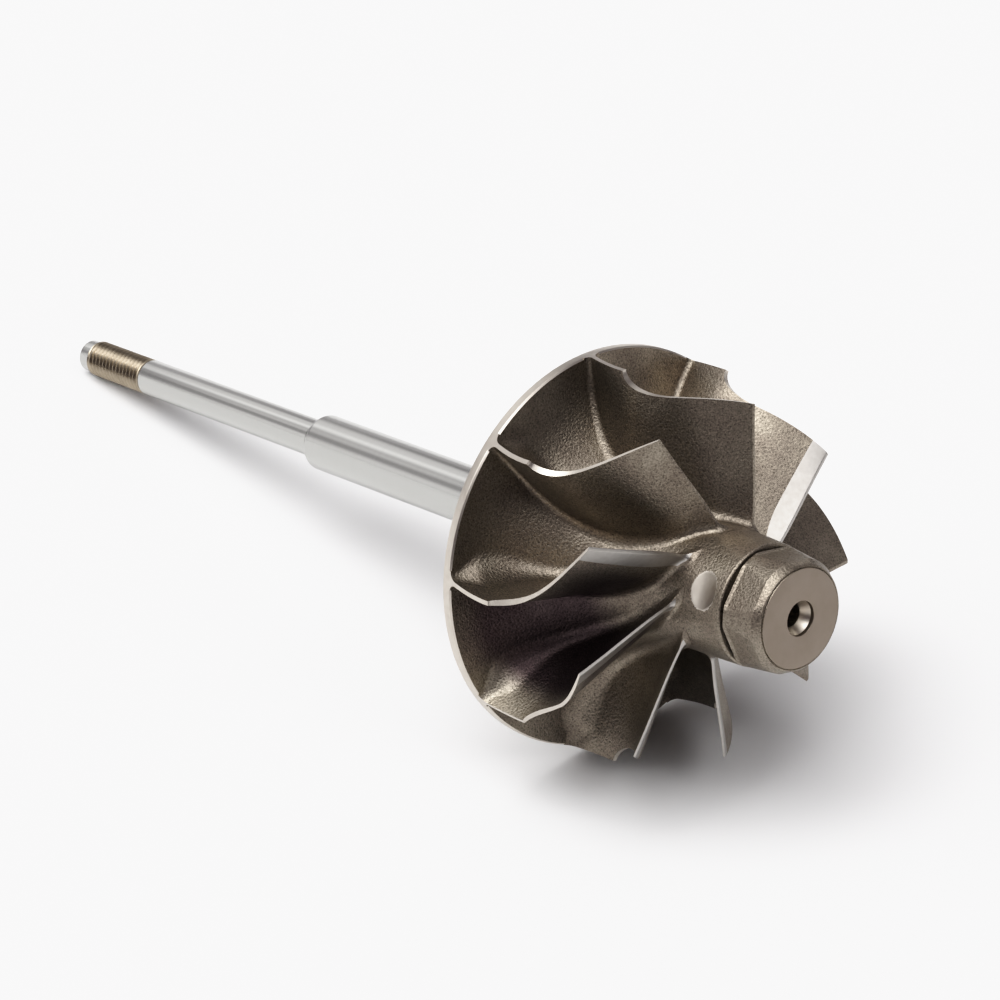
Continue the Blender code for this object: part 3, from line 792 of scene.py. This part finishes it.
# The thread
# A right-hand thread rolled into the end of the shaft for the nut that clamps the compressor
# wheel. It is left with its browned skin and a trace of oil.
THREAD_END_X = -106.4 * MM
THREAD_RADIUS = 2.47 * MM
THREAD_ROOT_RADIUS = 2.05 * MM
THREAD_PITCH = 0.8 * MM
THREAD_CREST = 0.12
THREAD_ROOT = 0.2
THREAD_STEPS_PER_TURN = 16
THREAD_SIDES = 96


def thread_radius(x, radius, turn):
    """Radius of the thread's ridge or groove, fading out at both ends."""
    along = (x / THREAD_PITCH - turn / math.tau) % 1.0
    off = abs(2.0 * along - 1.0)
    depth = min(max((off - THREAD_CREST) / (1.0 - THREAD_CREST - THREAD_ROOT), 0.0), 1.0)
    fade = min(1.0, min(x - THREAD_END_X, SEAT_END_X - x) / THREAD_PITCH)
    return radius - (THREAD_RADIUS - THREAD_ROOT_RADIUS) * depth * max(fade, 0.0)


# Rolled steel browned by heat, with a trace of oil: half bright and tan, in patches of 2 mm.
BROWN_PATCH = 2.0 * MM
brown_thread, shader = new_material("steel_thread_browned")
place = add_node(brown_thread, "TexCoord", {})
patches = add_node(brown_thread, "TexNoise", {
    "Vector": (place, "Object"), "Scale": 1.0 / BROWN_PATCH, "Detail": 4.0})
brown_tone = add_node(brown_thread, "Mix", {
    "Factor": (patches, "Fac"), MIX_A: srgb("#b3a896"), MIX_B: srgb("#8e8373")},
    data_type="RGBA")
shader.inputs["Roughness"].default_value = 0.32
brown_thread.node_tree.links.new(brown_tone.outputs[MIX_RESULT], shader.inputs["Base Color"])

thread_length = SEAT_END_X - THREAD_END_X
thread_steps = round(thread_length / THREAD_PITCH * THREAD_STEPS_PER_TURN)
thread_outline = [Vector((THREAD_END_X, 0.0))]
for i in range(thread_steps + 1):
    along = thread_length * i / thread_steps
    thread_outline.append(Vector((THREAD_END_X + along, THREAD_RADIUS)))
thread_outline.append(Vector((SEAT_END_X, 0.0)))
thread_skin = turned(thread_outline, THREAD_SIDES, thread_radius)
thread = finished("rolled_thread", thread_skin, brown_thread)
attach(thread, "root")
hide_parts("thread")


# The end of the shaft
# A short plain pilot beyond the thread, ground like the rest of the shaft and with its edge
# broken, which guides the nut on.
SHAFT_END_X = -108.8 * MM
SHAFT_END_RADIUS = 2.2 * MM
SHAFT_END_CHAMFER = 0.3 * MM
end_outline = rounded([
    (SHAFT_END_X, 0.0, 0.0),
    (SHAFT_END_X, SHAFT_END_RADIUS - SHAFT_END_CHAMFER, GROUND_EDGE),
    (SHAFT_END_X + SHAFT_END_CHAMFER, SHAFT_END_RADIUS, GROUND_EDGE),
    (THREAD_END_X, SHAFT_END_RADIUS, 0.0),
    (THREAD_END_X, 0.0, 0.0),
])
shaft_end = finished("ground_shaft_end", turned(end_outline, SHAFT_SIDES), ground_steel)
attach(shaft_end, "root")
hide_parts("shaft_end")


# The table, the light and the camera
# A wide white table in a soft studio light, seen from in front of the nose and above it.
FLOOR_HALF = 4.0
floor_bm = bmesh.new()
bmesh.ops.create_grid(floor_bm, x_segments=1, y_segments=1, size=FLOOR_HALF)
floor_mesh = bpy.data.meshes.new("table")
floor_bm.to_mesh(floor_mesh)
floor_bm.free()
floor = bpy.data.objects.new("table", floor_mesh)
bpy.context.scene.collection.objects.link(floor)
floor_white = bpy.data.materials.new("white_card")
floor_white.use_nodes = True
floor_shader = floor_white.node_tree.nodes["Principled BSDF"]
floor_shader.inputs["Base Color"].default_value = srgb("#e8e8e8")
floor_shader.inputs["Roughness"].default_value = 1.0
floor_shader.inputs["Specular IOR Level"].default_value = 0.0
floor_mesh.materials.append(floor_white)

# The studio as a dark room with soft lamps on its walls and ceiling. A lamp is given by its
# elevation, its azimuth from -y towards +x, its half width, all in degrees, and its
# brightness. It is full out to half of its half width, and gone at 1.6 times its half width.
LAMPS = (
    (85.0, 0.0, 20.0, 1.65),
    (64.0, 0.0, 18.0, 2.8),
    (64.0, 315.0, 18.0, 1.3),
    (64.0, 225.0, 18.0, 0.35),
    (60.0, 72.0, 13.0, 1.4),
    (48.0, 96.0, 10.0, 3.4),
    (45.0, 330.0, 17.0, 2.3),
    (29.0, 279.0, 11.0, 0.6),
    (27.0, 258.0, 13.0, 0.95),
    (26.0, 205.0, 14.0, 1.1),
    (21.0, 158.0, 14.0, 0.65),
    (20.0, 340.0, 13.0, 0.5),
    (18.0, 297.0, 12.0, 0.4),
    (10.0, 120.0, 15.0, 0.1),
    (2.0, 235.0, 13.0, 0.55),
    (0.0, 312.0, 13.0, 0.9),
)
LAMP_FULL = 0.5
LAMP_FADED = 1.6
ROOM_GLOW = (0.04, 0.027, 0.038)
world = bpy.data.worlds.new("studio")
world.use_nodes = True
sky = add_node(world, "TexCoord", {})
lamps = []
for elevation, azimuth, half_width, brightness in LAMPS:
    level_way = math.cos(math.radians(elevation))
    lamp_way = (
        math.sin(math.radians(azimuth)) * level_way,
        -math.cos(math.radians(azimuth)) * level_way,
        math.sin(math.radians(elevation)))
    facing = add_node(world, "VectorMath", {
        0: (sky, "Generated"), 1: lamp_way}, operation="DOT_PRODUCT")
    lamps.append(add_node(world, "MapRange", {
        "Value": (facing, "Value"),
        "From Min": math.cos(math.radians(LAMP_FADED * half_width)),
        "From Max": math.cos(math.radians(LAMP_FULL * half_width)), "To Max": brightness},
        interpolation_type="SMOOTHSTEP"))
light = add_node(world, "VectorMath", {0: (lamps[0], "Result"), 1: ROOM_GLOW}, operation="ADD")
for lamp in lamps[1:]:
    light = add_node(world, "VectorMath", {
        0: (light, "Vector"), 1: (lamp, "Result")}, operation="ADD")
background = world.node_tree.nodes["Background"]
world.node_tree.links.new(light.outputs["Vector"], background.inputs["Color"])
bpy.context.scene.world = world

# A camera with a long lens, 0.3 m above the table
CAMERA_PLACE = Vector((0.329733, -0.277718, 0.306536))
CAMERA_WAY = Vector((-0.618245, 0.548552, -0.562906))
CAMERA_SENSOR = 36.0
CAMERA_LENS = 146.02
CAMERA_REACH = (0.01, 20.0)
camera_data = bpy.data.cameras.new("camera")
camera_data.sensor_width = CAMERA_SENSOR
camera_data.lens = CAMERA_LENS
camera_data.clip_start, camera_data.clip_end = CAMERA_REACH
camera = bpy.data.objects.new("camera", camera_data)
bpy.context.scene.collection.objects.link(camera)
camera.location = CAMERA_PLACE
camera.rotation_mode = "QUATERNION"
camera.rotation_quaternion = CAMERA_WAY.to_track_quat("-Z", "Y")
bpy.context.scene.camera = camera

# The film's curve: shadows a little deeper, and the bare table levels off just under white
TONE_START = (0.0, 0.0)
TONE_BENDS = ((0.03, 0.0175), (0.08, 0.058), (0.2, 0.19), (0.65, 0.69), (0.9, 0.91))
TONE_END = (1.0, 0.935)
view = bpy.context.scene.view_settings
view.view_transform = "Standard"
view.use_curve_mapping = True
tone_curve = view.curve_mapping.curves[3]
tone_curve.points[0].location = TONE_START
tone_curve.points[1].location = TONE_END
for light_in, light_out in TONE_BENDS:
    tone_curve.points.new(light_in, light_out)
view.curve_mapping.update()
